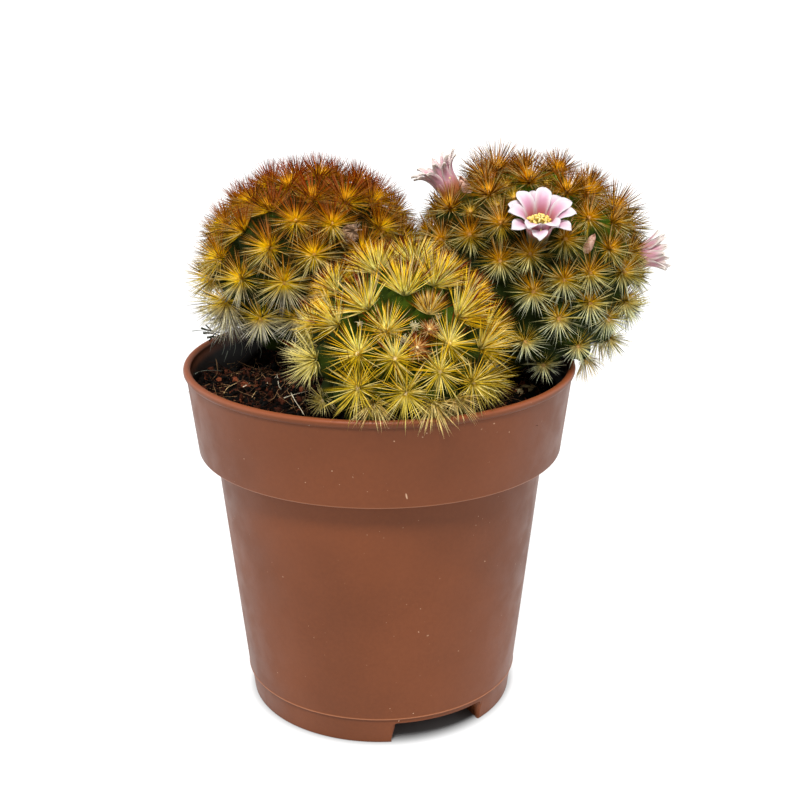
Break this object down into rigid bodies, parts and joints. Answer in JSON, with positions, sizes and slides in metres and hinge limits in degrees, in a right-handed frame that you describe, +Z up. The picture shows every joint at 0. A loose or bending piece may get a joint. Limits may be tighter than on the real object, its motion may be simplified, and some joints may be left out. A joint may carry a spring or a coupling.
{
  "type": "potted round cactus",
  "caption": "Clustered round cactus with tubercled, fine-spined heads and small pink flowers, growing in peat in a tapered plastic nursery pot with a deep collar.",
  "frame": {"origin": "centre of the whole footprint, seen from above, on the surface that the pot stands on", "axes": "+Z up along the pot's axis, -Y towards the viewer of the picture, +X to the viewer's right"},
  "size_m": [0.0804, 0.0692, 0.0947],
  "materials": {
    "pot": "satin moulded plastic",
    "peat": "rough crumbly peat",
    "cactus_left": "green flesh under rust and golden spines",
    "cactus_right": "green flesh under golden and cream spines",
    "cactus_front": "green flesh under lemon yellow spines",
    "petal": "soft petal",
    "stamen": "soft, pollen yellow",
    "bud": "soft bud",
    "dried_flower": "dry and papery",
    "stone": "dull stone"
  },
  "bodies": {
    "root": {"pot": "pot", "soil": "peat", "stem_left": "cactus_left", "stem_right": "cactus_right", "stem_front": "cactus_front", "flower_open": "petal", "flower_left": "petal", "flower_right": "petal", "flower_open_stamens": "stamen", "bud_front": "bud", "bud_top": "bud", "dried_flower": "dried_flower", "stone_1": "stone", "stone_2": "stone", "stone_3": "stone"}
  },
  "joints": []
}
